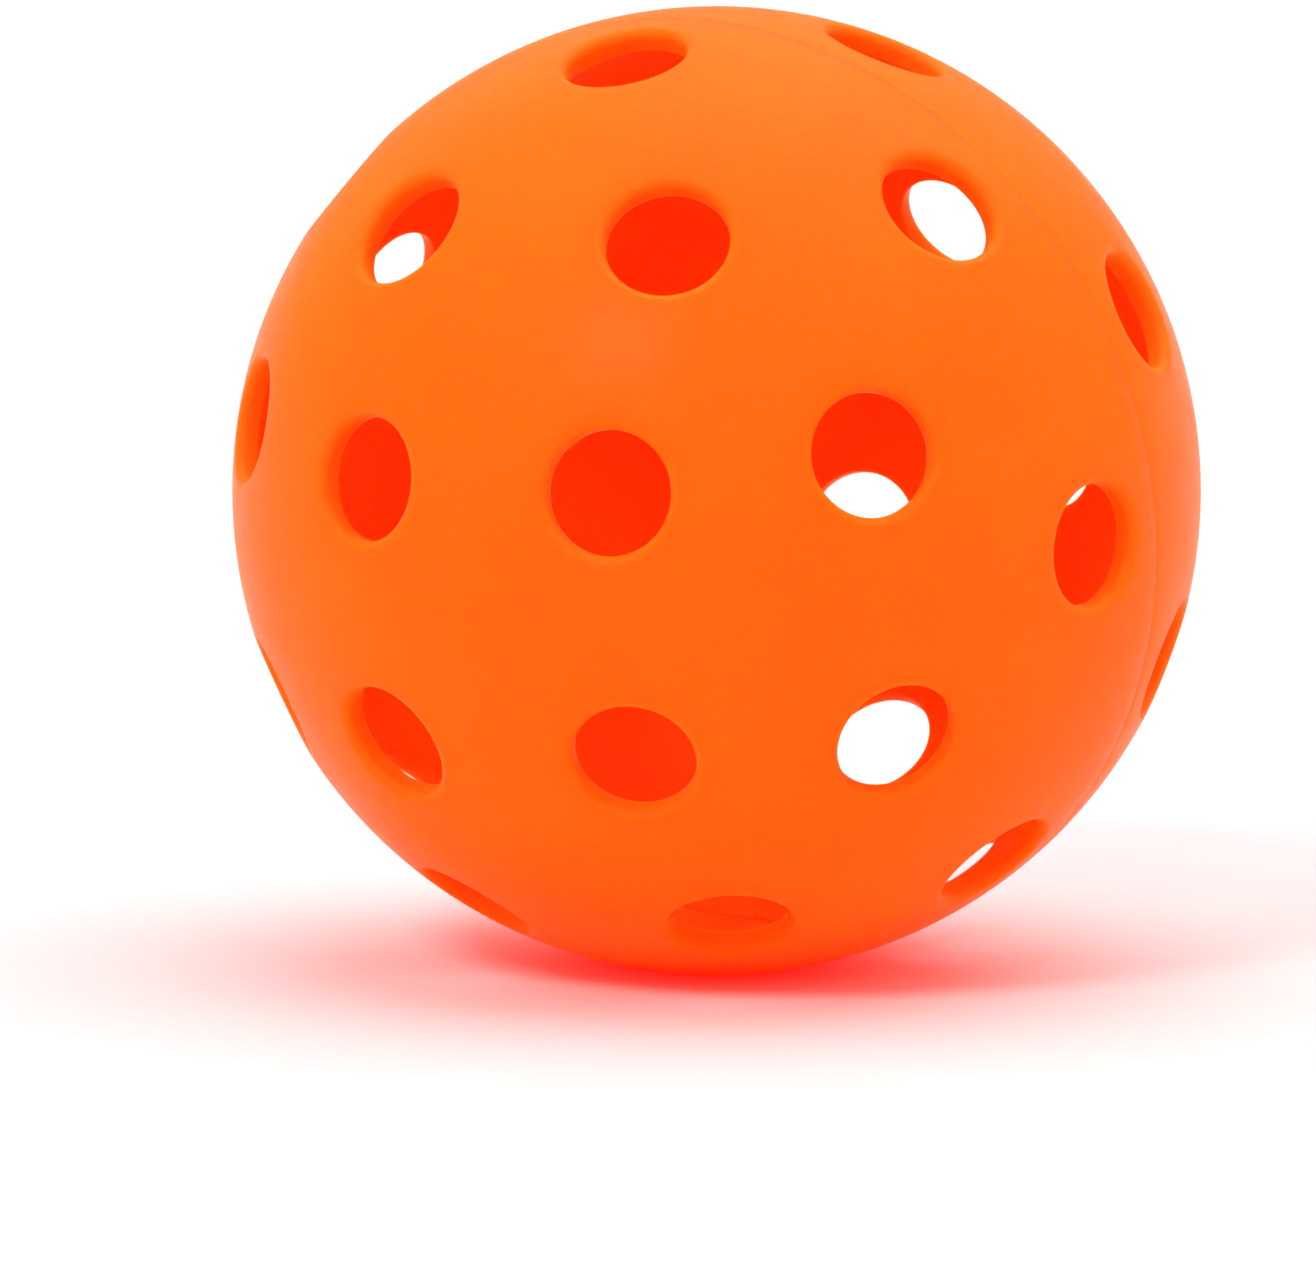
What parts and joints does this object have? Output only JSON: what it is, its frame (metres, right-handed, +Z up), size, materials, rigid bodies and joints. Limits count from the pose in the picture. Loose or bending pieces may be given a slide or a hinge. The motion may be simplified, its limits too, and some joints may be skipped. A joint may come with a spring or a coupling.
{
  "type": "pickleball ball",
  "caption": "Hollow perforated plastic ball for pickleball: two half shells welded at the equator, round holes in rings about the poles.",
  "frame": {"origin": "centre of the ball", "axes": "+Z up as the ball lies at rest over a belt hole of its front shell, -Z through that hole; the moulding axis through both poles lies in the YZ plane and its front pole points to -Y, 12.2 degrees below level; +X to the right seen from the front"},
  "size_m": [0.074, 0.074, 0.0736],
  "materials": {
    "shell_plastic": "satin moulded polyethylene, slightly translucent orange, fine matt skin, softly rounded hole rims",
    "weld_plastic": "remelted orange polyethylene, smoother and glossier than the shells"
  },
  "bodies": {
    "root": {"front_shell": "shell_plastic", "rear_shell": "shell_plastic", "weld_ring": "weld_plastic"}
  },
  "joints": []
}
